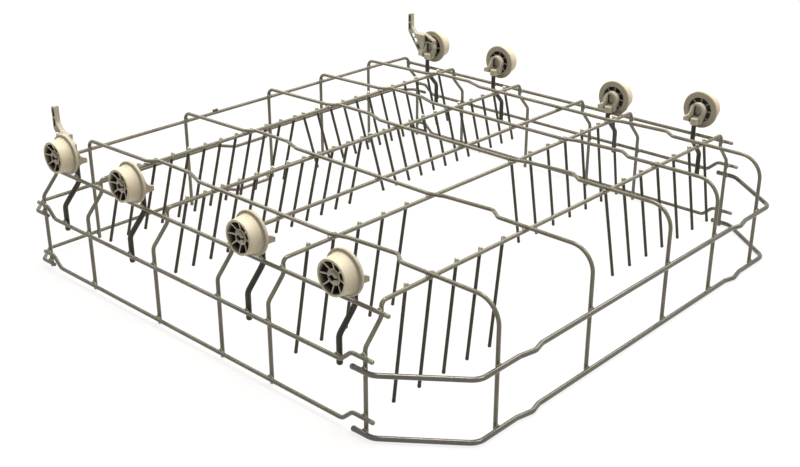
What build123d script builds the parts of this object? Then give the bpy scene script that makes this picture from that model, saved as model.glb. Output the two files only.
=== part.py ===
from build123d import *
from math import atan2, cos, degrees, radians, sin, tan
import os

os.makedirs("parts", exist_ok=True)

# Lower basket of a dishwasher, modelled as it was photographed: turned over, standing on its
# rim with the wheels up. Millimetres. +Z is up, the front is at -Y, the origin is on the floor
# under the middle of the basket. All wires are round, coated steel, spot welded where they touch.

# Overall sizes
overall_depth = 510.5      # over the front and the rear rails
leg_span = 507.5           # between the centres of the left and right side legs
base_height = 102.1        # floor to the plane where the two layers of the base meet

# Wire diameters
base_wire_d = 3.4          # long wires and cross wires
rail_wire_d = 3.4          # side and rear rails
front_wire_d = 4.2         # the two front rails
post_wire_d = 4.6          # posts that carry the wheels
tine_wire_d = 2.8          # plate tines
wire_end_round = 0.6       # rounded coating on every cut end

# Side legs of the cross wires: a shoulder, a slanting knee, then straight down
shoulder_inset = 16.5      # shoulder to leg, sideways
shoulder_bend = 4.5
knee_top_drop = 14.0       # below the plane of the base
knee_bottom_drop = 32.0
knee_bend = 7.0

# Cross wires along the depth
corner_set_in = 22.5       # legs of the rearmost cross wire, ahead of the rear legs
rear_field_set_in = 70.7   # second cross wire, ahead of those legs
rear_field_pitch = 94.8    # second to third cross wire
front_field_set_in = 64.7  # sixth cross wire, behind the front legs
front_field_pitch = 101.3  # fifth cross wire, behind the sixth
middle_set_back = 59.4     # fourth cross wire, behind the fifth

# Rearmost cross wire: lower than the others, with its ends turned forward and up
rear_wire_end_inset = 32.0
rear_wire_bend = 20.0

# Long wires across the width
left_long_wire_inset = 50.0    # inside the left shoulder
right_long_wire_inset = 44.5   # inside the right shoulder
inner_wire_a_x = -73.5
inner_wire_b_x = 38.5
inner_wire_c_x = 116.0
front_leg_bend = 20.0
rear_leg_bend = 8.0
rear_leg_droop = 2.3           # the long wires fall a little towards the rear legs

# Sidesteps of the long wires in the two plate fields
rear_sidestep = 7.8
rear_sidestep_ramp = 7.5       # steep end, at the second cross wire
rear_sidestep_tail = 21.5      # gentle end, ahead of the third cross wire
rear_sidestep_tail_gap = 21.0
front_sidestep = 9.0
front_sidestep_ramp = 12.0     # steep end, towards the sixth cross wire
front_sidestep_gap = 27.5
front_sidestep_near = 4.8      # sidestep beside the fifth cross wire
front_sidestep_tail = 14.0
sidestep_bend = 6.0

# Rail heights
top_rail_drop = 8.8            # below the plane of the base
middle_rail_z = 54.6
front_middle_rail_z = 53.6
bottom_rail_z = 5.5
rail_end_lift = 9.5            # raised ends of the side rails
rail_lift_start = 21.0         # from the end leg
rail_lift_end = 10.5
rail_front_overhang = 10.7
rail_rear_overhang = 4.5
rail_lift_bend = 7.0

# Front rails
front_rail_tail = 10.0         # behind the end leg
front_rail_lead = 9.5          # straight, ahead of the end leg
front_corner_inset = 46.3      # where the slanting corner meets the straight front
front_corner_bend = 14.0
rail_bump = 3.0                # two small outward bumps of the front rails
rail_bump_inset = 102.0        # from the side legs
rail_bump_outer_ramp = 15.0
rail_bump_inner_ramp = 11.5
rail_bump_bend = 8.0

# Rear rails
rear_rail_tail = 10.0
rear_rail_lead = 8.5
rear_corner_inset = 16.8
rear_corner_bend = 6.0
notch_mouth = 66.0             # recess in the middle of the rear rails
notch_floor = 44.0
notch_depth = 16.5
notch_bend = 5.0

# Short stub on the rearmost cross wire
stub_x = -37.5
stub_length = 6.0
stub_d = 2.4

# Plate tines: four rows, each with a left and a right group that lean outwards
rear_tine_inset = 23.25        # outermost tine, inside the shoulder
rear_tine_pitch = 18.9
rear_tine_middle = 3.0         # kept clear on each side of the middle
rear_tine_lean = 16.0
rear_tine_reach = 61.8         # below the cross wire
front_tine_inset = 28.25
front_tine_pitch = 27.7
front_left_tine_middle = 90.0
front_right_tine_middle = 35.0
front_tine_lean = 11.0
front_tine_tilt = 2.5          # the foremost tines also lean forwards
front_tine_reach = 86.6
tine_head = 2.7                # above the middle of the cross wire
tine_clearance = 0.5           # to a long wire that passes over a tine

# Wheel posts
post_bottom_drop = 7.6         # below the middle rail
wheel_1_set_in = 34.4          # ahead of the rear side legs
wheel_2_set_back = 32.9        # behind the third cross wire
wheel_3_set_back = 24.0        # behind the fifth cross wire
wheel_4_set_back = 26.4        # behind the sixth cross wire
right_wheel_offset = 3.5       # the right wheels stand further back than the left ones

# Wheels
axle_rise = 15.1               # axle above the plane of the base
wheel_stand_out = 5.75         # outer face, outside the side legs
wheel_width = 14.8
rim_r = 14.0
barrel_r = 15.4
flange_r = 18.2
flange_width = 3.2
flange_round = 1.3
flange_root = 1.5
rim_wall = 1.7
hub_wall = 1.9
hub_recess = 2.6               # hub face behind the outer face
hub_end_gap = 0.9              # hub end ahead of the inner face
spoke_count = 8
spoke_phase = 3.0
spoke_thickness = 1.25
spoke_set_in = 0.5
spoke_depth = 13.0

# Wheel carriers
axle_r = 4.3
bearing_clearance = 0.08       # around the axle
end_float = 0.4                # wheel between the collar and the snap head
snap_head_r = 5.0
snap_head_length = 1.6
snap_nose_r = 3.7
axle_core_r = 2.3
axle_slot = 1.5
axle_slot_length = 9.0
collar_r = 6.0
carrier_side_gap = 0.8         # carrier to the inner face of the wheel
boss_r = 8.0
boss_length = 5.4              # thickness of the boss and of the plate below it
recess_r = 5.4                 # recess in the inner side of the boss
recess_floor = 2.9             # plastic left between the recess and the wheel
foot_width = 9.6               # lower end of the plate
foot_height = 2.0
socket_depth = 12.8            # foot of the socket below the axle
socket_wall = 1.6              # plastic around the post
socket_round = 1.2             # upper edge of the socket
post_socket_gap = 0.05
post_cover = 2.4               # plastic between the post and the recess
lug_thickness = 2.2            # thumb lug, a fin that stands out from the boss
lug_offset = 4.4               # its root, beside the axle
lug_angle = 32.0               # turned away from the axle
lug_sink = 1.2                 # into the boss
lug_rise = 4.7                 # upper edge at the boss, above the axle
lug_knee_reach = 3.5           # bend of the upper edge, from the boss
lug_knee_drop = 3.4            # the same, below the axle
lug_reach = 8.7                # tip, from the boss
lug_drop = 5.2                 # upper corner of the tip below the axle
lug_tip = 3.8
lug_root_drop = 10.4           # lower edge at the socket, below the axle

# Hook arms of the two rear carriers
hook_thickness = 4.8
hook_seat = 0.4                # sunk into the shield
hook_root = 5.4                # front edge of the arm, behind the axle
hook_width = 5.0               # upright part
hook_reach = 25.5              # middle of the upright part, behind the axle
hook_height = 36.6             # tip above the axle
hook_tip_round = 2.4           # rear corner of the tip
hook_front_elbow = 22.0        # front edge starts to slant, above the axle
hook_back_elbow = 16.0         # rear edge starts to slant, above the axle
hook_shoulder_reach = 17.0     # front edge meets the shield, behind the axle
hook_heel_reach = 12.1         # rear edge meets the foot, behind the axle
hook_heel_drop = 6.1           # the same, below the axle
hook_foot_drop = 11.4          # lower end of the arm, below the axle
hook_bend = 5.0
hook_rib = 1.1                 # plastic around the pockets and windows
hook_bar = 2.2                 # plastic between the pockets of the upright part
hook_web = 2.2                 # thickness of the slanting part around its windows
hook_pocket_count = 2
hook_pocket_depth = 1.8
hook_window = 5.2              # square windows in the slanting part
hook_window_place = 13.4       # middle of the lower window, along the rear edge from the heel
hook_window_pitch = 6.6
hook_low_place = 5.2           # middle of the pocket below the windows
shield_rise = 14.5             # top of the shield at the arm, above the axle
shield_front = 7.0             # front edge of the shield, ahead of the axle
shield_front_rise = 9.0        # its upper end, above the axle
shield_rim = 1.3
shield_pocket = 2.4            # depth of the panel inside the rim

# Derived places
leg_x = leg_span / 2
shoulder_x = leg_x - shoulder_inset
cross_z = base_height - base_wire_d / 2
long_z = base_height + base_wire_d / 2
knee_top_z = base_height - knee_top_drop
knee_bottom_z = base_height - knee_bottom_drop
front_leg_y = -overall_depth / 2 + rail_bump + front_wire_d + base_wire_d / 2
rear_leg_y = overall_depth / 2 - rail_wire_d - base_wire_d / 2
corner_y = rear_leg_y - corner_set_in
cross_2_y = corner_y - rear_field_set_in
cross_3_y = cross_2_y - rear_field_pitch
cross_6_y = front_leg_y + front_field_set_in
cross_5_y = cross_6_y + front_field_pitch
cross_4_y = cross_5_y + middle_set_back
top_rail_z = base_height - top_rail_drop
long_wire_x = (
    -shoulder_x + left_long_wire_inset,
    inner_wire_a_x,
    inner_wire_b_x,
    inner_wire_c_x,
    shoulder_x - right_long_wire_inset,
)
rear_corner_z = long_z - rear_leg_droop
wheel_face_x = leg_x + wheel_stand_out
post_upper_x = shoulder_x + (base_wire_d - post_wire_d) / 2
post_lower_x = leg_x + (base_wire_d - post_wire_d) / 2
wheel_z = base_height + axle_rise
# The third carrier on the right has slid down its post and sits on the top rail
low_wheel_z = top_rail_z + rail_wire_d / 2 + post_socket_gap + socket_depth
left_wheel_y = (
    corner_y - wheel_1_set_in,
    cross_3_y + wheel_2_set_back,
    cross_5_y + wheel_3_set_back,
    cross_6_y + wheel_4_set_back,
)
wheel_places = []
for number, y in enumerate(left_wheel_y, start=1):
    wheel_places.append(("left", -1, number, y, wheel_z))
for number, y in enumerate(left_wheel_y, start=1):
    wheel_places.append(
        ("right", 1, number, y + right_wheel_offset, low_wheel_z if number == 3 else wheel_z)
    )
sides = (("left", -1), ("right", 1))


# One bent wire: a round section carried along straight runs and tangent bends
def bent_wire(points, bends, diameter):
    with BuildPart() as wire:
        with BuildLine() as route:
            FilletPolyline(*points, radius=bends)
        with BuildSketch(Plane(origin=route.line @ 0, z_dir=route.line % 0)):
            Circle(diameter / 2)
        sweep(path=route.line)
        fillet(wire.faces().filter_by(GeomType.PLANE).edges(), radius=wire_end_round)
    return wire.part


# One straight wire between two points
def straight_wire(start, end, diameter):
    run = Vector(*end) - Vector(*start)
    with BuildPart() as wire:
        with BuildSketch(Plane(origin=start, z_dir=run)):
            Circle(diameter / 2)
        extrude(amount=run.length)
        fillet(wire.faces().filter_by(GeomType.PLANE).edges(), radius=wire_end_round)
    return wire.part


def save(part, name):
    part.label = name
    export_step(part, f"parts/{name}.step")


# Long wires: over the cross wires, bent down at the front and at the rear, with a sidestep
# to the right in each of the two plate fields
for number, x in enumerate(long_wire_x, start=1):
    route_points = [
        (x, front_leg_y, 0),
        (x, front_leg_y, long_z),
        (x, cross_6_y + front_sidestep_gap, long_z),
        (x + front_sidestep, cross_6_y + front_sidestep_gap + front_sidestep_ramp, long_z),
        (x + front_sidestep_near, cross_5_y - front_sidestep_tail, long_z),
        (x, cross_5_y, long_z),
        (x, cross_3_y + rear_sidestep_tail_gap, long_z),
        (x + rear_sidestep, cross_3_y + rear_sidestep_tail_gap + rear_sidestep_tail, long_z),
        (x + rear_sidestep, cross_2_y - rear_sidestep_ramp, long_z),
        (x, cross_2_y, long_z),
        (x, rear_leg_y, rear_corner_z),
        (x, rear_leg_y, 0),
    ]
    route_bends = [front_leg_bend] + [sidestep_bend] * 8 + [rear_leg_bend]
    save(bent_wire(route_points, route_bends, base_wire_d), f"long_wire_{number}")

# Cross wires two to six: straight across under the long wires, then down both sides
for number, y in enumerate((cross_2_y, cross_3_y, cross_4_y, cross_5_y, cross_6_y), start=2):
    route_points = [
        (-leg_x, y, 0),
        (-leg_x, y, knee_bottom_z),
        (-shoulder_x, y, knee_top_z),
        (-shoulder_x, y, cross_z),
        (shoulder_x, y, cross_z),
        (shoulder_x, y, knee_top_z),
        (leg_x, y, knee_bottom_z),
        (leg_x, y, 0),
    ]
    route_bends = [knee_bend, knee_bend, shoulder_bend, shoulder_bend, knee_bend, knee_bend]
    save(bent_wire(route_points, route_bends, base_wire_d), f"cross_wire_{number}")

# Rearmost cross wire: along the inside of the rear legs, ends turned forward and up to the
# last pair of side legs
rear_wire_y = rear_leg_y - base_wire_d
rear_wire_z = rear_corner_z - rear_leg_bend
rear_wire_x = shoulder_x - rear_wire_end_inset
rear_wire_points = [
    (-leg_x, corner_y, 0),
    (-leg_x, corner_y, knee_bottom_z),
    (-shoulder_x, corner_y, knee_top_z),
    (-shoulder_x, corner_y, cross_z),
    (-rear_wire_x, rear_wire_y, rear_wire_z),
    (rear_wire_x, rear_wire_y, rear_wire_z),
    (shoulder_x, corner_y, cross_z),
    (shoulder_x, corner_y, knee_top_z),
    (leg_x, corner_y, knee_bottom_z),
    (leg_x, corner_y, 0),
]
rear_wire_bends = [
    knee_bend,
    knee_bend,
    shoulder_bend,
    rear_wire_bend,
    rear_wire_bend,
    shoulder_bend,
    knee_bend,
    knee_bend,
]
save(bent_wire(rear_wire_points, rear_wire_bends, base_wire_d), "cross_wire_1")

# Short stub welded along the top of the rearmost cross wire
stub_z = rear_wire_z + (base_wire_d + stub_d) / 2
stub = straight_wire(
    (stub_x - stub_length / 2, rear_wire_y, stub_z),
    (stub_x + stub_length / 2, rear_wire_y, stub_z),
    stub_d,
)
save(stub, "rear_stub")

# Side rails: a straight top rail outside the shoulders, and a middle and a bottom rail outside
# the legs, whose ends are raised to pass the ends of the front and rear rails
top_rail_x = shoulder_x + (base_wire_d + rail_wire_d) / 2
side_rail_x = leg_x + (base_wire_d + rail_wire_d) / 2
rail_front_y = cross_6_y - rail_front_overhang
rail_rear_y = corner_y + rail_rear_overhang
for side_name, side in sides:
    top_rail = straight_wire(
        (side * top_rail_x, rail_front_y, top_rail_z),
        (side * top_rail_x, rail_rear_y, top_rail_z),
        rail_wire_d,
    )
    save(top_rail, f"{side_name}_top_rail")
    for rail_name, rail_z in (("middle", middle_rail_z), ("bottom", bottom_rail_z)):
        route_points = [
            (side * side_rail_x, rail_front_y, rail_z + rail_end_lift),
            (side * side_rail_x, cross_6_y + rail_lift_end, rail_z + rail_end_lift),
            (side * side_rail_x, cross_6_y + rail_lift_start, rail_z),
            (side * side_rail_x, corner_y - rail_lift_start, rail_z),
            (side * side_rail_x, corner_y - rail_lift_end, rail_z + rail_end_lift),
            (side * side_rail_x, rail_rear_y, rail_z + rail_end_lift),
        ]
        rail = bent_wire(route_points, [rail_lift_bend] * 4, rail_wire_d)
        save(rail, f"{side_name}_{rail_name}_rail")

# Front rails: wrapped round the front side legs, slanting corners, then straight across
# the front legs with two small bumps. The bottom one lies on the floor.
front_rail_x = leg_x + (base_wire_d + front_wire_d) / 2
front_rail_y = front_leg_y - (base_wire_d + front_wire_d) / 2
front_corner_x = front_rail_x - front_corner_inset
bump_x = leg_x - rail_bump_inset
front_half = [
    (front_rail_x, cross_6_y + front_rail_tail),
    (front_rail_x, cross_6_y - front_rail_lead),
    (front_corner_x, front_rail_y),
    (bump_x + rail_bump_outer_ramp, front_rail_y),
    (bump_x, front_rail_y - rail_bump),
    (bump_x - rail_bump_inner_ramp, front_rail_y),
]
front_half_bends = [front_corner_bend] * 2 + [rail_bump_bend] * 3
for rail_name, rail_z in (("middle", front_middle_rail_z), ("bottom", front_wire_d / 2)):
    route_points = [(-x, y, rail_z) for x, y in front_half]
    route_points += [(x, y, rail_z) for x, y in reversed(front_half)]
    route_bends = front_half_bends + front_half_bends[::-1]
    save(bent_wire(route_points, route_bends, front_wire_d), f"front_{rail_name}_rail")

# Rear rails: wrapped round the rear side legs, short slanting corners, and a recess in the
# middle that clears the water pipe of the machine
rear_rail_y = rear_leg_y + (base_wire_d + rail_wire_d) / 2
rear_half = [
    (side_rail_x, corner_y - rear_rail_tail),
    (side_rail_x, corner_y + rear_rail_lead),
    (side_rail_x - rear_corner_inset, rear_rail_y),
    (notch_mouth / 2, rear_rail_y),
    (notch_floor / 2, rear_rail_y - notch_depth),
]
rear_half_bends = [rear_corner_bend] * 2 + [notch_bend] * 2
for rail_name, rail_z in (("middle", middle_rail_z), ("bottom", bottom_rail_z)):
    route_points = [(-x, y, rail_z) for x, y in rear_half]
    route_points += [(x, y, rail_z) for x, y in reversed(rear_half)]
    route_bends = rear_half_bends + rear_half_bends[::-1]
    save(bent_wire(route_points, route_bends, rail_wire_d), f"rear_{rail_name}_rail")

# Plate tines: welded to the rear face of their cross wire, leaning outwards on the way down.
# A tine that would meet a long wire ends just under it.
rear_row = (rear_tine_inset, rear_tine_pitch, rear_tine_lean, 0, rear_tine_reach)
front_row = (front_tine_inset, front_tine_pitch, front_tine_lean, 0, front_tine_reach)
foremost_row = (front_tine_inset, front_tine_pitch, front_tine_lean, front_tine_tilt, front_tine_reach)
tine_rows = (
    (2, cross_2_y, rear_row, rear_tine_middle, rear_tine_middle),
    (3, cross_3_y, rear_row, rear_tine_middle, rear_tine_middle),
    (5, cross_5_y, front_row, front_left_tine_middle, front_right_tine_middle),
    (6, cross_6_y, foremost_row, front_left_tine_middle, front_right_tine_middle),
)
for number, row_y, row, left_middle, right_middle in tine_rows:
    inset, pitch, lean, tilt, reach = row
    slope = tan(radians(lean))
    forwards = tan(radians(tilt))
    tine_y = row_y + (base_wire_d + tine_wire_d) / 2 / cos(radians(tilt))
    outermost = shoulder_x - inset
    for side_name, side in sides:
        middle = left_middle if side < 0 else right_middle
        count = int((outermost - middle) / pitch) + 1
        with BuildPart() as tines:
            for place in range(count):
                tine_x = side * (outermost - place * pitch)
                head = tine_head
                head_x = tine_x - side * head * slope
                room = (base_wire_d + tine_wire_d) / 2 / cos(radians(lean)) + tine_clearance
                if min(abs(head_x - x) for x in long_wire_x) < room:
                    head = base_wire_d / 2 - tine_clearance - sin(radians(lean)) * tine_wire_d / 2
                top = Vector(tine_x - side * head * slope, tine_y + head * forwards, cross_z + head)
                tip = Vector(tine_x + side * reach * slope, tine_y - reach * forwards, cross_z - reach)
                with BuildSketch(Plane(origin=top, z_dir=tip - top)):
                    Circle(tine_wire_d / 2)
                extrude(amount=(tip - top).length)
            fillet(tines.faces().filter_by(GeomType.PLANE).edges(), radius=wire_end_round)
        save(tines.part, f"cross_wire_{number}_{side_name}_tines")

# Wheel posts: thicker wires inside the top and middle rails, following the slope of the legs
post_bottom_z = middle_rail_z - post_bottom_drop
for side_name, side, number, y, axle_z in wheel_places:
    route_points = [
        (side * post_lower_x, y, post_bottom_z),
        (side * post_lower_x, y, knee_bottom_z),
        (side * post_upper_x, y, knee_top_z),
        (side * post_upper_x, y, axle_z - recess_r - post_cover),
    ]
    post = bent_wire(route_points, [knee_bend] * 2, post_wire_d)
    save(post, f"{side_name}_wheel_post_{number}")


# Plane square to an axle, a distance inside the outer face of the wheel, looking inwards
def axle_plane(side, y, axle_z, inside):
    return Plane(
        origin=(side * (wheel_face_x - inside), y, axle_z),
        x_dir=(0, 1, 0),
        z_dir=(-side, 0, 0),
    )


# Plane through an axle at an angle: local x runs inwards along the axle, local y outwards
# from it
def axle_section(side, y, axle_z, angle):
    inwards = Vector(-side, 0, 0)
    outwards = Vector(0, cos(radians(angle)), sin(radians(angle)))
    return Plane(
        origin=(side * wheel_face_x, y, axle_z), x_dir=inwards, z_dir=inwards.cross(outwards)
    )


# Wheel: a hollow flanged barrel, eight thin spokes and a hub that runs on the carrier's axle
barrel_end = wheel_width - flange_width
core_r = rim_r - rim_wall
hub_bore_r = axle_r + bearing_clearance
hub_r = hub_bore_r + hub_wall
hub_end = wheel_width - hub_end_gap
edge_bend = min(flange_round, 0.4 * flange_width, 0.4 * (flange_r - barrel_r))
root_bend = min(flange_root, 0.5 * (flange_r - barrel_r))
for side_name, side, number, y, axle_z in wheel_places:
    axle_axis = Axis((side * wheel_face_x, y, axle_z), (-side, 0, 0))
    with BuildPart() as wheel:
        with BuildSketch(axle_section(side, y, axle_z, 90)):
            with BuildLine():
                FilletPolyline(
                    (0, rim_r),
                    (barrel_end, barrel_r),
                    (barrel_end, flange_r),
                    (wheel_width, flange_r),
                    (wheel_width, core_r),
                    radius=[root_bend, edge_bend, edge_bend],
                )
                Polyline((wheel_width, core_r), (0, core_r), (0, rim_r))
            make_face()
        revolve(axis=axle_axis)
        with BuildSketch(axle_plane(side, y, axle_z, hub_recess)):
            Circle(hub_r)
            Circle(hub_bore_r, mode=Mode.SUBTRACT)
        extrude(amount=hub_end - hub_recess)
        for spoke in range(spoke_count):
            angle = spoke_phase + spoke * 360 / spoke_count
            with BuildSketch(axle_section(side, y, axle_z, angle)):
                with BuildLine():
                    Polyline(
                        (spoke_set_in, rim_r - rim_wall / 2),
                        (spoke_set_in + spoke_depth, barrel_r - rim_wall / 2),
                        (spoke_set_in + spoke_depth, hub_r - hub_wall / 2),
                        (hub_recess + spoke_set_in, hub_r - hub_wall / 2),
                        close=True,
                    )
                make_face()
            extrude(amount=spoke_thickness / 2, both=True)
    save(wheel.part, f"{side_name}_wheel_{number}")

# Wheel carriers: a plate with a hollow boss, a socket on top of the post, a thumb lug on the
# inside, and a split axle with a snap head that keeps the wheel on. The rear pair has a shield
# with a hook arm.
carrier_outer = wheel_width + carrier_side_gap
carrier_face = carrier_outer + boss_length
collar_end = hub_end + end_float
head_start = hub_recess - end_float
nose_start = head_start - snap_head_length
post_top_drop = recess_r + post_cover
socket_r = post_wire_d / 2 + post_socket_gap + socket_wall
socket_height = socket_depth - post_top_drop + socket_wall
socket_run = wheel_face_x - carrier_outer - post_upper_x
hook_front = hook_reach - hook_width / 2
hook_back = hook_reach + hook_width / 2
hook_heel = Vector(hook_heel_reach, -hook_heel_drop)
slant = (Vector(hook_back, hook_back_elbow) - hook_heel).normalized()
slant_across = Vector(-slant.Y, slant.X)
slant_angle = degrees(atan2(slant.Y, slant.X))
window_set_in = slant_across * (hook_rib + hook_window / 2)
lower_window = hook_heel + slant * hook_window_place + window_set_in
upper_window = lower_window + slant * hook_window_pitch
low_pocket = hook_heel + slant * hook_low_place + window_set_in
cut_back_length = hook_window_pitch + hook_window
pocket_pitch = (hook_height - hook_back_elbow - hook_bar) / hook_pocket_count
for side_name, side, number, y, axle_z in wheel_places:
    foot_z = axle_z - socket_depth
    outer_x = side * (wheel_face_x - carrier_outer)
    face_x = side * (wheel_face_x - carrier_face)
    post_x = side * post_upper_x
    plate_plane = Plane(origin=(outer_x, y, axle_z), x_dir=(0, 1, 0), z_dir=(1, 0, 0))
    with BuildPart() as carrier:
        with BuildSketch(Plane.XY.offset(foot_z)):
            with Locations((post_x, y)):
                Circle(socket_r)
            with Locations((post_x + side * socket_run / 2, y)):
                Rectangle(socket_run, 2 * socket_r)
        extrude(amount=socket_height)
        socket_top = carrier.faces().sort_by(Axis.Z)[-1]
        fillet(socket_top.edges().filter_by(GeomType.CIRCLE), radius=socket_round)
        with BuildSketch(plate_plane):
            Circle(boss_r)
            with Locations((0, foot_height / 2 - socket_depth)):
                Rectangle(foot_width, foot_height)
            make_hull()
        extrude(amount=-side * boss_length)
        if number == 1:
            hook_x = face_x + side * (hook_seat - hook_thickness / 2)
            hook_plane = Plane(origin=(hook_x, y, axle_z), x_dir=(0, 1, 0), z_dir=(1, 0, 0))
            with BuildSketch(plate_plane):
                with BuildLine():
                    Polyline(
                        (0, -boss_r),
                        (-shield_front, 0),
                        (-shield_front, shield_front_rise),
                        (hook_root, shield_rise),
                        (hook_shoulder_reach, shield_rise),
                        (hook_heel_reach, 0),
                        close=True,
                    )
                make_face()
            extrude(amount=-side * boss_length)
            with BuildSketch(plate_plane.offset(-side * boss_length)):
                with BuildLine():
                    Polyline(
                        (shield_rim - shield_front, recess_r + shield_rim),
                        (shield_rim - shield_front, shield_front_rise - shield_rim),
                        (hook_root, shield_rise - shield_rim),
                        (hook_root, recess_r + shield_rim),
                        close=True,
                    )
                make_face()
            extrude(amount=side * shield_pocket, mode=Mode.SUBTRACT)
            with BuildSketch(hook_plane):
                with BuildLine():
                    FilletPolyline(
                        (hook_root, -hook_foot_drop),
                        (hook_heel_reach, -hook_heel_drop),
                        (hook_back, hook_back_elbow),
                        (hook_back, hook_height),
                        (hook_front, hook_height),
                        radius=[hook_bend, hook_bend, hook_tip_round],
                    )
                    FilletPolyline(
                        (hook_front, hook_height),
                        (hook_front, hook_front_elbow),
                        (hook_shoulder_reach, shield_rise),
                        (hook_root, shield_rise),
                        radius=hook_bend,
                    )
                    Line((hook_root, shield_rise), (hook_root, -hook_foot_drop))
                make_face()
            extrude(amount=hook_thickness / 2, both=True)
            for face in (-1, 1):
                with BuildSketch(hook_plane.offset(face * hook_thickness / 2)):
                    for pocket in range(hook_pocket_count):
                        pocket_z = hook_back_elbow + hook_bar / 2 + (pocket + 0.5) * pocket_pitch
                        with Locations((hook_reach, pocket_z)):
                            Rectangle(hook_width - 2 * hook_rib, pocket_pitch - hook_bar)
                extrude(amount=-face * hook_pocket_depth, mode=Mode.SUBTRACT)
            with BuildSketch(hook_plane.offset(-side * hook_thickness / 2)):
                with Locations(low_pocket):
                    Rectangle(hook_window, hook_window - hook_rib, rotation=slant_angle)
            extrude(amount=side * hook_pocket_depth, mode=Mode.SUBTRACT)
            with BuildSketch(hook_plane.offset(side * hook_thickness / 2)):
                with Locations((lower_window + upper_window) / 2 - slant_across * hook_rib):
                    Rectangle(cut_back_length, hook_window + 2 * hook_rib, rotation=slant_angle)
            extrude(amount=side * (hook_web - hook_thickness), mode=Mode.SUBTRACT)
            with BuildSketch(hook_plane):
                with Locations(lower_window, upper_window):
                    Rectangle(hook_window, hook_window, rotation=slant_angle)
            extrude(amount=hook_thickness / 2, both=True, mode=Mode.SUBTRACT)
        with BuildSketch(axle_plane(side, y, axle_z, carrier_outer + recess_floor)):
            Circle(recess_r)
        extrude(amount=boss_length, mode=Mode.SUBTRACT)
        lug_run = Vector(-side * cos(radians(lug_angle)), side * sin(radians(lug_angle)))
        lug_plane = Plane(
            origin=(face_x, y + side * lug_offset, axle_z),
            x_dir=lug_run,
            z_dir=lug_run.cross(Vector(0, 0, 1)),
        )
        with BuildSketch(lug_plane):
            with BuildLine():
                Polyline(
                    (-lug_sink, lug_rise),
                    (0, lug_rise),
                    (lug_knee_reach, -lug_knee_drop),
                    (lug_reach, -lug_drop),
                    (lug_reach, -lug_drop - lug_tip),
                    (lug_knee_reach, -lug_root_drop),
                    (-lug_sink, -lug_root_drop),
                    close=True,
                )
            make_face()
        extrude(amount=lug_thickness / 2, both=True)
        with BuildSketch(axle_plane(side, y, axle_z, collar_end)):
            Circle(collar_r)
        extrude(amount=carrier_outer - collar_end)
        with BuildSketch(axle_plane(side, y, axle_z, head_start)):
            Circle(axle_r)
        extrude(amount=carrier_outer - head_start)
        with BuildSketch(axle_section(side, y, axle_z, 90)):
            with BuildLine():
                Polyline(
                    (nose_start, 0),
                    (nose_start, snap_nose_r),
                    (head_start - snap_head_length / 2, snap_head_r),
                    (head_start, snap_head_r),
                    (head_start, 0),
                    close=True,
                )
            make_face()
        revolve(axis=Axis((side * wheel_face_x, y, axle_z), (-side, 0, 0)))
        with BuildSketch(axle_plane(side, y, axle_z, nose_start)):
            Circle(axle_core_r)
            Rectangle(2 * snap_head_r, axle_slot)
        extrude(amount=axle_slot_length, mode=Mode.SUBTRACT)
        with BuildSketch(Plane.XY.offset(foot_z)):
            with Locations((post_x, y)):
                Circle(post_wire_d / 2 + post_socket_gap)
        extrude(amount=socket_depth - post_top_drop, mode=Mode.SUBTRACT)
    save(carrier.part, f"{side_name}_wheel_carrier_{number}")
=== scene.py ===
import math

import bmesh
import bpy
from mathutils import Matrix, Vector


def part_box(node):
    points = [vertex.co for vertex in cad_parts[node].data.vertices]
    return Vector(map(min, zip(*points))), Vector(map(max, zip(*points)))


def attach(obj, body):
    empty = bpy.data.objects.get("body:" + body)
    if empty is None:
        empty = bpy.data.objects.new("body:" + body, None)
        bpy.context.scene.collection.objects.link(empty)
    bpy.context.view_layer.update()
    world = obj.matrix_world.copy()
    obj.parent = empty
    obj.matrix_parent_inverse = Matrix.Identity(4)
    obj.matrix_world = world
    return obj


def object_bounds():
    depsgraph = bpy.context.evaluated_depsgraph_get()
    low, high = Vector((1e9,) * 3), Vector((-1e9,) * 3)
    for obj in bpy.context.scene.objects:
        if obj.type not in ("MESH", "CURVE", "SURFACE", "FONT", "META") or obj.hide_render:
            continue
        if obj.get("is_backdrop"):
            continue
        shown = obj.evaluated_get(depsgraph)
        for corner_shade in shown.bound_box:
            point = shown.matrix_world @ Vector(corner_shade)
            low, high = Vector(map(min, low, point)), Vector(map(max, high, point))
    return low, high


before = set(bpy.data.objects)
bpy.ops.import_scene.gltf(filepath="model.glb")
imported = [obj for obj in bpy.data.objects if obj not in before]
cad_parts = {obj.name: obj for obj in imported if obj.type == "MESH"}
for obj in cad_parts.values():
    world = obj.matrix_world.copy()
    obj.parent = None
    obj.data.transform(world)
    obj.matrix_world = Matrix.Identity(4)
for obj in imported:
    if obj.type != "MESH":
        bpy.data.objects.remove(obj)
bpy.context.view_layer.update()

# Long wires
# Five rods of drawn steel, bent down at both ends and spot welded on top of the cross wires.
# The welded basket was dipped as a whole, so all of its steel wears one dark nylon coat.
WIRE_R = 0.0017
LONG_WIRES = [f"long_wire_{n}" for n in range(1, 6)]
PATCH_SHARE = 0.75
PATCH_DULLNESS, FLECK_DULLNESS = 0.08, 0.10
PEEL_HEIGHT = 0.00006


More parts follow.
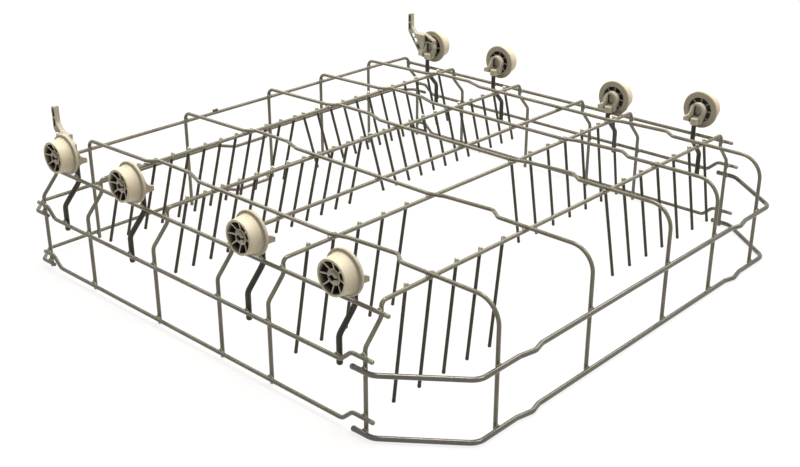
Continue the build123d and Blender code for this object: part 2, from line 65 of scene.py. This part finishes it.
class Shade:
    """One output socket of a material; arithmetic on it adds the Math nodes."""

    def __init__(self, tree, socket=None):
        self.tree = tree
        self.socket = socket

    def node(self, kind, settings=None, inputs=None, out=0):
        made = self.tree.nodes.new(kind)
        for key, value in (settings or {}).items():
            if key == "stops":
                for element, (place, level) in zip(made.color_ramp.elements, value):
                    element.position = place
                    element.color = (level, level, level, 1.0)
            else:
                setattr(made, key, value)
        for key, value in (inputs or {}).items():
            if isinstance(value, Shade):
                self.tree.links.new(value.socket, made.inputs[key])
            else:
                made.inputs[key].default_value = value
        return Shade(self.tree, made.outputs[out])

    def feeds(self, shader, name):
        self.tree.links.new(self.socket, shader.inputs[name])

    def __add__(self, other):
        return self.node("ShaderNodeMath", {"operation": "ADD"}, {0: self, 1: other})

    def __mul__(self, other):
        return self.node("ShaderNodeMath", {"operation": "MULTIPLY"}, {0: self, 1: other})

    __radd__ = __add__
    __rmul__ = __mul__


def new_finish(name):
    material = bpy.data.materials.new(name)
    material.use_nodes = True
    return material, material.node_tree.nodes["Principled BSDF"], Shade(material.node_tree)


def ramp(start, value, *stops):
    """A level for each of two places of a value, and a slope between them."""
    return start.node("ShaderNodeValToRGB", {"stops": stops}, {"Fac": value})


def cloud(start, place, scale, detail, low, high):
    """Soft patches between 0 and 1, about 1 / scale metres across."""
    noise = start.node(
        "ShaderNodeTexNoise", None, {"Vector": place, "Scale": scale, "Detail": detail}
    )
    return ramp(start, noise, (low, 0.0), (high, 1.0))


def tint(start, mask, under, over):
    """Lays a colour over another by a mask; each is a value or comes from nodes."""
    under, over = (c if isinstance(c, Shade) else (*c, 1.0) for c in (under, over))
    return start.node("ShaderNodeMix", {"data_type": "RGBA"}, {0: mask, 6: under, 7: over}, out=2)


def nylon_coat(name, deep, pale, dullness, gloss, peel_height=PEEL_HEIGHT):
    """Dipped nylon: brown-grey with cloudy patches, a slight orange peel and dull spots."""
    material, shader, start = new_finish(name)
    place = start.node("ShaderNodeTexCoord", out="Object")
    patches = cloud(start, place, scale=70.0, detail=3.0, low=0.32, high=0.70)
    flecks = cloud(start, place, scale=520.0, detail=2.0, low=0.60, high=0.78)
    paleness = patches * PATCH_SHARE + flecks * (1 - PATCH_SHARE)
    tint(start, paleness, deep, pale).feeds(shader, "Base Color")
    roughness = patches * PATCH_DULLNESS + flecks * FLECK_DULLNESS + dullness
    roughness.feeds(shader, "Roughness")
    peel = start.node("ShaderNodeTexNoise", None, {"Vector": place, "Scale": 650.0, "Detail": 2.0})
    start.node(
        "ShaderNodeBump",
        None,
        {"Strength": 0.35, "Distance": peel_height, "Height": peel},
        out="Normal",
    ).feeds(shader, "Normal")
    shader.inputs["Specular IOR Level"].default_value = gloss
    return material


def dress(names, material):
    for name in names:
        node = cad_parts[name]
        node.data.materials.clear()
        node.data.materials.append(material)


wire_coat = nylon_coat(
    "wire_coat",
    deep=(0.104, 0.090, 0.050),
    pale=(0.186, 0.164, 0.100),
    dullness=0.20,
    gloss=0.85,
)
dress(LONG_WIRES, wire_coat)
long_x = [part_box(name)[0].x + WIRE_R for name in LONG_WIRES]
long_low, long_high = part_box("long_wire_1")
front_leg_y = long_low.y + WIRE_R
rear_leg_y = long_high.y - WIRE_R
base_z = long_high.z - 2 * WIRE_R

# Cross wires
# Six rods under the long wires, stepped down both sides as legs, in the same steel and coat.
# The coat has run into each weld and left a four-cornered bead, painted paler than the wire as a
# painted highlight.
CROSS_WIRES = [f"cross_wire_{n}" for n in range(1, 7)]
REAR_WIRE_Z = 0.0935
ALONG_X, ALONG_Y, ALONG_Z = (1, 0, 0), (0, 1, 0), (0, 0, 1)
BEAD_AROUND = 24
BEAD_STEPS = 8
BEAD_REACH = 2.05
BEAD_WAIST = 1.42
BEAD_POINTEDNESS = 8
BEAD_HEIGHT = 0.78
BEAD_UNEVEN = 0.10
BEAD_SHUFFLE = (970.0, 610.0, 430.0)
BEAD_LOWEST = 0.0003


def close_rings(mesh, rings):
    """Skins a stack of rings of points and closes both ends."""
    loops = [[mesh.verts.new(point) for point in ring] for ring in rings]
    for lower, upper in zip(loops, loops[1:]):
        for k in range(len(lower)):
            n = (k + 1) % len(lower)
            mesh.faces.new((lower[k], lower[n], upper[n], upper[k]))
    for loop in (loops[0][::-1], loops[-1]):
        hub = mesh.verts.new(sum((v.co for v in loop), Vector()) / len(loop))
        for k in range(len(loop)):
            mesh.faces.new((loop[k], loop[(k + 1) % len(loop)], hub))


def weld_bead(mesh, contact, normal, near_run, far_run, radius):
    """Coat gathered round the point where two wires touch, widest along both wires. No two
    are quite the same size, and none reaches the floor."""
    normal, near_run, far_run = (Vector(v).normalized() for v in (normal, near_run, far_run))
    beside = normal.cross(near_run)
    middle = Vector(contact)
    swell = 1 + BEAD_UNEVEN * math.sin(middle.dot(BEAD_SHUFFLE))
    rings = []
    for step in range(1, BEAD_STEPS):
        tilt = math.pi * step / BEAD_STEPS
        ring = []
        for k in range(BEAD_AROUND):
            turn = 2 * math.pi * k / BEAD_AROUND
            out = near_run * math.cos(turn) + beside * math.sin(turn)
            along = max(abs(out.dot(near_run)), abs(out.dot(far_run)))
            point_out = (BEAD_REACH - BEAD_WAIST) * along**BEAD_POINTEDNESS
            reach = swell * (BEAD_WAIST + point_out) * math.sin(tilt)
            point = middle + (out * reach - normal * BEAD_HEIGHT * math.cos(tilt)) * radius
            point.z = max(point.z, BEAD_LOWEST)
            ring.append(point)
        rings.append(ring)
    close_rings(mesh, rings)


def basket_piece(name, mesh, material):
    """A new piece of coated wire work that stays with the basket."""
    bmesh.ops.recalc_face_normals(mesh, faces=mesh.faces)
    data = bpy.data.meshes.new(name)
    mesh.to_mesh(data)
    mesh.free()
    data.polygons.foreach_set("use_smooth", [True] * len(data.polygons))
    data.materials.append(material)
    piece = bpy.data.objects.new(name, data)
    bpy.context.scene.collection.objects.link(piece)
    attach(piece, "basket")


dress(CROSS_WIRES, wire_coat)
# Painted highlight: beads and some cut-end drops get a paler copy of the coat.
weld_highlight_coat = nylon_coat(
    "weld_highlight_coat",
    deep=(0.200, 0.184, 0.128),
    pale=(0.335, 0.310, 0.230),
    dullness=0.12,
    gloss=0.8,
)
cross_y = {}
for number in range(2, 7):
    low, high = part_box(f"cross_wire_{number}")
    cross_y[number] = (low.y + high.y) / 2
low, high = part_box("cross_wire_1")
rear_wire_y = high.y - WIRE_R
leg_x = high.x - WIRE_R
welds = bmesh.new()
for y in cross_y.values():
    for x in long_x:
        weld_bead(welds, (x, y, base_z), ALONG_Z, ALONG_X, ALONG_Y, WIRE_R)
for x in long_x:
    contact = (x, rear_wire_y + WIRE_R, REAR_WIRE_Z)
    weld_bead(welds, contact, ALONG_Y, ALONG_X, ALONG_Z, WIRE_R)
basket_piece("base_welds", welds, weld_highlight_coat)

# Side rails
# A straight top rail outside the shoulders, and a middle and a bottom rail outside the legs
# with raised ends. Each is welded to every leg it passes; its cut ends carry a drop of coat.
SIDES = (("left", -1), ("right", 1))
SIDE_LEVELS = ("top", "middle", "bottom")
SIDE_RAILS = [f"{name}_{level}_rail" for name, _ in SIDES for level in SIDE_LEVELS]
CORNER_LEG_Y = 0.22765
LIFTED_RAIL = 0.0095
DROP_AROUND = 16
DROP_PROFILE = (
    (-2.4, 0.985),
    (-1.7, 1.03),
    (-0.9, 1.08),
    (-0.2, 1.06),
    (0.12, 0.86),
    (0.34, 0.5),
)


def end_drop(mesh, tip, run, radius):
    """Coat gathered on a cut wire end: a cap a little thicker than the wire."""
    run = Vector(run).normalized()
    beside = run.orthogonal().normalized()
    over = run.cross(beside)
    rings = []
    for along, out in DROP_PROFILE:
        ring = []
        for k in range(DROP_AROUND):
            turn = 2 * math.pi * k / DROP_AROUND
            spoke = beside * math.cos(turn) + over * math.sin(turn)
            ring.append(Vector(tip) + run * along * radius + spoke * out * radius)
        rings.append(ring)
    close_rings(mesh, rings)


rail_coat = nylon_coat(
    "rail_coat",
    deep=(0.086, 0.074, 0.041),
    pale=(0.158, 0.138, 0.083),
    dullness=0.20,
    gloss=0.80,
)
dress(SIDE_RAILS, rail_coat)
leg_y = [CORNER_LEG_Y] + list(cross_y.values())
end_leg_y = (leg_y[0], leg_y[-1])
welds = bmesh.new()
drops = bmesh.new()
for side_name, side in SIDES:
    outwards = (side, 0, 0)
    for level in SIDE_LEVELS:
        low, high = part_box(f"{side_name}_{level}_rail")
        rail_x = (low.x + high.x) / 2
        lift = 0 if level == "top" else LIFTED_RAIL
        rail_z = low.z + WIRE_R
        for y in leg_y:
            z = rail_z + (lift if y in end_leg_y else 0)
            contact = (rail_x - side * WIRE_R, y, z)
            weld_bead(welds, contact, outwards, ALONG_Z, ALONG_Y, WIRE_R)
        end_drop(drops, (rail_x, low.y, rail_z + lift), (0, -1, 0), WIRE_R)
        end_drop(drops, (rail_x, high.y, rail_z + lift), (0, 1, 0), WIRE_R)
basket_piece("side_rail_welds", welds, weld_highlight_coat)
# The side rails' cut-end drops are painted pale as a painted highlight.
basket_piece("side_rail_ends", drops, weld_highlight_coat)

# Front rails
# Two rails of thicker steel wrapped round the front side legs, with slanting corners and two small
# bumps. Welded to every front leg. Their coat is smoother and glossier than the rest, and painted
# darker as painted shade, for dark surroundings reflected in it.
FRONT_R = 0.0021
FRONT_PEEL_HEIGHT = 0.000008
# Painted shade: the front rails' coat is painted darker than the other wires'.
front_shaded_coat = nylon_coat(
    "front_shaded_coat",
    deep=(0.050, 0.041, 0.021),
    pale=(0.090, 0.077, 0.046),
    dullness=0.12,
    gloss=1.0,
    peel_height=FRONT_PEEL_HEIGHT,
)
dress(["front_middle_rail", "front_bottom_rail"], front_shaded_coat)
welds = bmesh.new()
drops = bmesh.new()
for level in ("middle", "bottom"):
    low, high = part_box(f"front_{level}_rail")
    rail_z = (low.z + high.z) / 2
    for x in long_x:
        contact = (x, front_leg_y - WIRE_R, rail_z)
        weld_bead(welds, contact, (0, -1, 0), ALONG_Z, ALONG_X, WIRE_R)
    for _, side in SIDES:
        contact = (side * (leg_x + WIRE_R), cross_y[6], rail_z)
        weld_bead(welds, contact, (side, 0, 0), ALONG_Z, ALONG_Y, WIRE_R)
        tip = (side * (high.x - FRONT_R), high.y, rail_z)
        end_drop(drops, tip, ALONG_Y, FRONT_R)
basket_piece("front_rail_welds", welds, weld_highlight_coat)
basket_piece("front_rail_ends", drops, front_shaded_coat)

# Rear rails
# Two rails of the side rails' wire, wrapped round the rear side legs, with a recess in the
# middle. Both are welded to the rear legs of the long wires and to the corner legs.
dress(["rear_middle_rail", "rear_bottom_rail"], rail_coat)
welds = bmesh.new()
drops = bmesh.new()
for level in ("middle", "bottom"):
    low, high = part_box(f"rear_{level}_rail")
    rail_z = (low.z + high.z) / 2
    for x in long_x:
        contact = (x, rear_leg_y + WIRE_R, rail_z)
        weld_bead(welds, contact, ALONG_Y, ALONG_Z, ALONG_X, WIRE_R)
    for _, side in SIDES:
        contact = (side * (leg_x + WIRE_R), CORNER_LEG_Y, rail_z)
        weld_bead(welds, contact, (side, 0, 0), ALONG_Z, ALONG_Y, WIRE_R)
        end_drop(drops, (side * (high.x - WIRE_R), low.y, rail_z), (0, -1, 0), WIRE_R)
basket_piece("rear_rail_welds", welds, weld_highlight_coat)
basket_piece("rear_rail_ends", drops, rail_coat)

# Rear stub
# A short length of thin steel wire, welded along the top of the rearmost cross wire and
# dipped with it, so that both of its cut ends carry a drop of coat.
STUB_R = 0.0012
stub_coat = nylon_coat(
    "stub_coat",
    deep=(0.105, 0.092, 0.057),
    pale=(0.190, 0.168, 0.110),
    dullness=0.28,
    gloss=0.5,
)
dress(["rear_stub"], stub_coat)
low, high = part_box("rear_stub")
drops = bmesh.new()
for x, run in ((low.x, -1), (high.x, 1)):
    end_drop(drops, (x, (low.y + high.y) / 2, (low.z + high.z) / 2), (run, 0, 0), STUB_R)
basket_piece("rear_stub_ends", drops, stub_coat)

# Plate tines
# Thin straight rods in four rows, welded to the rear face of their cross wire and leaning outwards.
# The dip left a drop of coat on every tip; the cut head is painted pale as a painted highlight.
TINE_R = 0.0014
HEAD_SWELL = 1.12
SAME_POINT = 1e-7
TINE_ROWS = (2, 3, 5, 6)
# Painted shade: the tines' coat is painted much darker than the long wires'.
tine_shaded_coat = nylon_coat(
    "tine_shaded_coat",
    deep=(0.042, 0.037, 0.025),
    pale=(0.086, 0.077, 0.053),
    dullness=0.32,
    gloss=0.3,
)
# Painted highlight: the cut heads are painted near white.
head_highlight_coat = nylon_coat(
    "head_highlight_coat",
    deep=(0.620, 0.595, 0.520),
    pale=(0.780, 0.760, 0.690),
    dullness=0.30,
    gloss=0.5,
)


def loose_rods(node):
    """The corner points of each separate rod in a node."""
    mesh = bmesh.new()
    mesh.from_mesh(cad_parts[node].data)
    bmesh.ops.remove_doubles(mesh, verts=mesh.verts, dist=SAME_POINT)
    rods, seen = [], set()
    for vert in mesh.verts:
        if vert in seen:
            continue
        stack, rod = [vert], []
        seen.add(vert)
        while stack:
            point = stack.pop()
            rod.append(point.co.copy())
            for edge in point.link_edges:
                other = edge.other_vert(point)
                if other not in seen:
                    seen.add(other)
                    stack.append(other)
        rods.append(rod)
    mesh.free()
    return rods


tips = bmesh.new()
heads = bmesh.new()
welds = bmesh.new()
cross_z = base_z - WIRE_R
for row in TINE_ROWS:
    for side_name, _ in SIDES:
        group = f"cross_wire_{row}_{side_name}_tines"
        dress([group], tine_shaded_coat)
        for rod in loose_rods(group):
            middle = (min(p.z for p in rod) + max(p.z for p in rod)) / 2
            ends = []
            for chosen in ([p for p in rod if p.z < middle], [p for p in rod if p.z >= middle]):
                ends.append(sum(chosen, Vector()) / len(chosen))
            run = (ends[0] - ends[1]).normalized()
            centre = (ends[0] + ends[1]) / 2
            reach = [(p - centre).dot(run) for p in rod]
            end_drop(tips, centre + run * max(reach), run, TINE_R)
            end_drop(heads, centre + run * min(reach), -run, HEAD_SWELL * TINE_R)
            at = centre + run * ((cross_z - centre.z) / run.z)
            contact = (at.x, cross_y[row] + WIRE_R, cross_z)
            weld_bead(welds, contact, ALONG_Y, ALONG_X, run, TINE_R)
basket_piece("tine_tips", tips, tine_shaded_coat)
basket_piece("tine_heads", heads, head_highlight_coat)
basket_piece("tine_welds", welds, weld_highlight_coat)

# Wheel posts
# Eight rods of the thickest wire, bent like the legs and welded inside the top and the middle
# rail. Each stands up from the top rail and carries one wheel.
POST_R = 0.0023
TOP_RAIL_Z = 0.0933
POSTS_EACH_SIDE = range(1, 5)
# Painted shade: the posts' coat is painted much darker than the other wires'.
post_shaded_coat = nylon_coat(
    "post_shaded_coat",
    deep=(0.030, 0.027, 0.019),
    pale=(0.064, 0.058, 0.040),
    dullness=0.32,
    gloss=0.3,
)
welds = bmesh.new()
drops = bmesh.new()
for side_name, side in SIDES:
    rail_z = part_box(f"{side_name}_middle_rail")[0].z + WIRE_R
    for number in POSTS_EACH_SIDE:
        name = f"{side_name}_wheel_post_{number}"
        dress([name], post_shaded_coat)
        low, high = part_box(name)
        y = (low.y + high.y) / 2
        upper_x = (low.x if side > 0 else high.x) + side * 2 * POST_R
        lower_x = high.x if side > 0 else low.x
        for x, z in ((upper_x, TOP_RAIL_Z), (lower_x, rail_z)):
            weld_bead(welds, (x, y, z), (side, 0, 0), ALONG_Z, ALONG_Y, WIRE_R)
        end_drop(drops, (lower_x - side * POST_R, y, low.z), (0, 0, -1), POST_R)
basket_piece("post_welds", welds, weld_highlight_coat)
basket_piece("post_ends", drops, post_shaded_coat)

# Wheels
# Eight flanged wheels moulded in beige plastic: a hollow barrel, eight thin spokes and a hub.
# Each is snapped on the axle of its carrier and turns freely. Its cells are painted near black as
# painted shade.
WHEELS = [f"{name}_wheel_{n}" for name, _ in SIDES for n in POSTS_EACH_SIDE]
BARREL_LENGTH = 0.0116
FLANK_FADE, ROOT_FADE = 0.0012, 0.0070
# Strengths of the painted shade in corners and at the flange root, and of the painted shade and
# track soil on the flank.
FLANK_SOIL_AND_SHADE, ROOT_SHADE, CORNER_SHADE = 0.32, 0.26, 0.85
EDGE_RADIUS = 0.0006
# Rubbed wear and painted highlight on rounded edges.
EDGE_WEAR_AND_HIGHLIGHT = 0.85
# Painted shade: how far the deepest hollows are painted near black.
HOLLOW_SHADE = 0.96
AGEING_SHARE = 0.8
PLASTIC_DULLNESS, AGEING_DULLNESS, HOLLOW_DULLNESS = 0.42, 0.08, 0.2
PLASTIC_GLOSS = 0.4


def moulded_plastic(name, clean, yellowed, rubbed_and_highlit, soil_and_shade, hollow_shade_colour, shade_depth, flank_x=0.0):
    """Matt moulded plastic: cloudy yellowing, fine grain, soft edges painted pale as rubbed wear
    and painted highlight, painted shade in inner corners, and near-black painted shade where the
    shape is deep. Faces across the axle nearer the middle than flank_x run on the track and are
    darkened as soil and painted shade, and a painted shade fades out along the barrel beside them."""
    material, shader, start = new_finish(name)
    place = start.node("ShaderNodeTexCoord", out="Object")
    ageing = cloud(start, place, scale=45.0, detail=3.0, low=0.30, high=0.75)
    grain = cloud(start, place, scale=900.0, detail=2.0, low=0.45, high=0.75)
    rounded = start.node("ShaderNodeBevel", {"samples": 6}, {"Radius": EDGE_RADIUS})
    facing = start.node("ShaderNodeNewGeometry", out="Normal")
    flatness = start.node(
        "ShaderNodeVectorMath", {"operation": "DOT_PRODUCT"}, {0: rounded, 1: facing}, out="Value"
    )
    edges = ramp(start, flatness, (0.80, 1.0), (0.99, 0.0))
    openness = start.node(
        "ShaderNodeAmbientOcclusion",
        {"samples": 12, "only_local": True},
        {"Distance": shade_depth},
        out="AO",
    )
    # Painted shade: the deepest hollows, such as the wheel cells, are coloured near black for the
    # shade that falls in them.
    hollow_shade = ramp(start, openness, (0.22, 1.0), (0.55, 0.0))
    # Painted shade in the inner corners, such as the flange root.
    corner_shade = ramp(start, openness, (0.38, 1.0), (0.74, 0.0))
    inwards, across = (
        start.node(
            "ShaderNodeMath",
            {"operation": "ABSOLUTE"},
            {0: start.node("ShaderNodeSeparateXYZ", None, {"Vector": vector})},
        )
        for vector in (place, facing)
    )
    # Painted shade and track soil on the flange faces across the axle, and painted shade fading
    # along the barrel beside the flange.
    flank_soil_and_shade, root_shade = (
        start.node(
            "ShaderNodeMapRange",
            None,
            {"Value": inwards, "From Min": flank_x + fade, "From Max": flank_x},
        )
        for fade in (FLANK_FADE, ROOT_FADE)
    )
    plastic = tint(start, ageing * AGEING_SHARE + grain * (1 - AGEING_SHARE), clean, yellowed)
    # Rubbed wear and painted highlight: rounded edges and thin spokes are painted pale.
    worn_and_highlit = tint(start, edges * EDGE_WEAR_AND_HIGHLIGHT, plastic, rubbed_and_highlit)
    # This darkening is painted shade; only the flank part is also track soil.
    soil_and_shade_mask = corner_shade * CORNER_SHADE + across * flank_soil_and_shade * FLANK_SOIL_AND_SHADE + root_shade * ROOT_SHADE
    soiled_and_shaded = tint(start, soil_and_shade_mask, worn_and_highlit, soil_and_shade)
    # Painted shade laid last: near black in the deep hollows.
    tint(start, hollow_shade * HOLLOW_SHADE, soiled_and_shaded, hollow_shade_colour).feeds(shader, "Base Color")
    roughness = ageing * AGEING_DULLNESS + hollow_shade * HOLLOW_DULLNESS + PLASTIC_DULLNESS
    roughness.feeds(shader, "Roughness")
    skin = start.node("ShaderNodeTexNoise", None, {"Vector": place, "Scale": 1400.0, "Detail": 2.0})
    start.node(
        "ShaderNodeBump",
        None,
        {"Strength": 0.25, "Distance": 0.00008, "Height": skin, "Normal": rounded},
        out="Normal",
    ).feeds(shader, "Normal")
    shader.inputs["Specular IOR Level"].default_value = PLASTIC_GLOSS
    return material


wheel_plastic = moulded_plastic(
    "wheel_plastic",
    clean=(0.725, 0.664, 0.520),
    yellowed=(0.655, 0.582, 0.420),
    rubbed_and_highlit=(0.885, 0.852, 0.765),
    # The darker colours below are painted shade in corners, in hollows and along the flange, with
    # some track soil on the flange faces.
    soil_and_shade=(0.192, 0.180, 0.142),
    hollow_shade_colour=(0.008, 0.006, 0.004),
    shade_depth=0.012,
    flank_x=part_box("right_wheel_1")[1].x - BARREL_LENGTH,
)
dress(WHEELS, wheel_plastic)

# Wheel carriers
# Eight moulded holders pushed on the posts: a socket, a boss with a recess, a thumb lug and a
# split axle. The rear pair has a hook arm with two windows. Greyer plastic than the wheels.
CARRIERS = [f"{name}_wheel_carrier_{n}" for name, _ in SIDES for n in POSTS_EACH_SIDE]
carrier_plastic = moulded_plastic(
    "carrier_plastic",
    clean=(0.520, 0.490, 0.400),
    yellowed=(0.445, 0.408, 0.318),
    rubbed_and_highlit=(0.760, 0.735, 0.655),
    # The darker colours below are painted shade in corners and hollows.
    soil_and_shade=(0.175, 0.164, 0.124),
    hollow_shade_colour=(0.020, 0.017, 0.011),
    shade_depth=0.010,
)
dress(CARRIERS, carrier_plastic)

# Floor, light and camera
# A plain white floor that keeps the basket's faint shadow, and a white surround. One soft lamp
# stands over the front right corner; three more, overhead, at the right and behind, run a gleam
# along the rails, the cross wires and the long wires.
FLOOR_HALF = 8.0
FLOOR_Z = -0.0009
FLOOR_CORNERS = ((-1, -1), (1, -1), (1, 1), (-1, 1))
FLOOR_LIT, FLOOR_SEEN = (0.52, 0.51, 0.49), (1.0, 0.985, 0.955)
FLOOR_GLOW = 0.84
WHITE = (1.0, 1.0, 1.0, 1.0)
SURROUND_COLOUR = (1.0, 0.985, 0.96, 1.0)
SURROUND_LIGHT = 0.23
LAMP_COLOUR = (1.0, 0.95, 0.865)
AIM = Vector((0.0, 0.0, 0.06))
CAMERA_PLACE = (-0.75565, -0.67995, 0.4721)
CAMERA_LOOK = Vector((0.6697, 0.6210, -0.4072))
CAMERA_LENS = 52.59
CAMERA_NEAR = 0.01

floor_mesh = bmesh.new()
floor_mesh.faces.new(
    [floor_mesh.verts.new((x * FLOOR_HALF, y * FLOOR_HALF, FLOOR_Z)) for x, y in FLOOR_CORNERS]
)
floor_data = bpy.data.meshes.new("floor")
floor_mesh.to_mesh(floor_data)
floor_mesh.free()
floor = bpy.data.objects.new("floor", floor_data)
bpy.context.scene.collection.objects.link(floor)
floor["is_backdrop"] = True
floor_paper, floor_shader, start = new_finish("floor_paper")
floor_shader.inputs["Roughness"].default_value = 0.9
floor_shader.inputs["Specular IOR Level"].default_value = 0.1


def seen_directly(start):
    """1 where the camera, a reflection or a see-through surface looks at this."""
    seen = start.node("ShaderNodeLightPath", out="Is Camera Ray")
    for kind in ("Is Glossy Ray", "Is Transmission Ray"):
        seen = seen + start.node("ShaderNodeLightPath", out=kind)
    return seen


tint(start, seen_directly(start), FLOOR_LIT, FLOOR_SEEN).feeds(floor_shader, "Base Color")
glow = start.node("ShaderNodeEmission", None, {"Color": WHITE, "Strength": 1.0})
paper = Shade(start.tree, floor_shader.outputs[0])
start.node(
    "ShaderNodeMixShader", None, {0: seen_directly(start) * FLOOR_GLOW, 1: paper, 2: glow}
).feeds(start.tree.nodes["Material Output"], "Surface")
floor_data.materials.append(floor_paper)

world = bpy.data.worlds.new("surround")
bpy.context.scene.world = world
world.use_nodes = True
start = Shade(world.node_tree)
surround = start.tree.nodes["Background"]
surround.inputs["Color"].default_value = SURROUND_COLOUR
surround.inputs["Strength"].default_value = SURROUND_LIGHT
dim = Shade(start.tree, surround.outputs[0])
white = start.node("ShaderNodeBackground", None, {"Color": WHITE, "Strength": 1.0})
start.node("ShaderNodeMixShader", None, {0: seen_directly(start), 1: dim, 2: white}).feeds(
    start.tree.nodes["World Output"], "Surface"
)

for name, place, size, power in (
    ("key_lamp", (0.45, -1.05, 1.90), 0.9, 20.0),
    ("top_lamp", (0.05, 0.05, 1.90), 0.9, 24.0),
    ("right_lamp", (1.35, 0.05, 1.45), 1.0, 12.0),
    ("rear_lamp", (0.05, 1.30, 1.50), 1.0, 14.0),
):
    lamp = bpy.data.lights.new(name, "AREA")
    lamp.shape = "DISK"
    lamp.size = size
    lamp.energy = power
    lamp.color = LAMP_COLOUR
    holder = bpy.data.objects.new(name, lamp)
    holder.location = place
    holder.rotation_euler = (AIM - Vector(place)).to_track_quat("-Z", "Y").to_euler()
    bpy.context.scene.collection.objects.link(holder)

camera = bpy.data.cameras.new("camera")
camera.sensor_fit = "HORIZONTAL"
camera.sensor_width = 36.0
camera.lens = CAMERA_LENS
camera.clip_start = CAMERA_NEAR
viewer = bpy.data.objects.new("camera", camera)
viewer.location = CAMERA_PLACE
viewer.rotation_euler = CAMERA_LOOK.to_track_quat("-Z", "Y").to_euler()
bpy.context.scene.collection.objects.link(viewer)
bpy.context.scene.camera = viewer
bpy.context.scene.view_settings.view_transform = "Standard"

low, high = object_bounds()
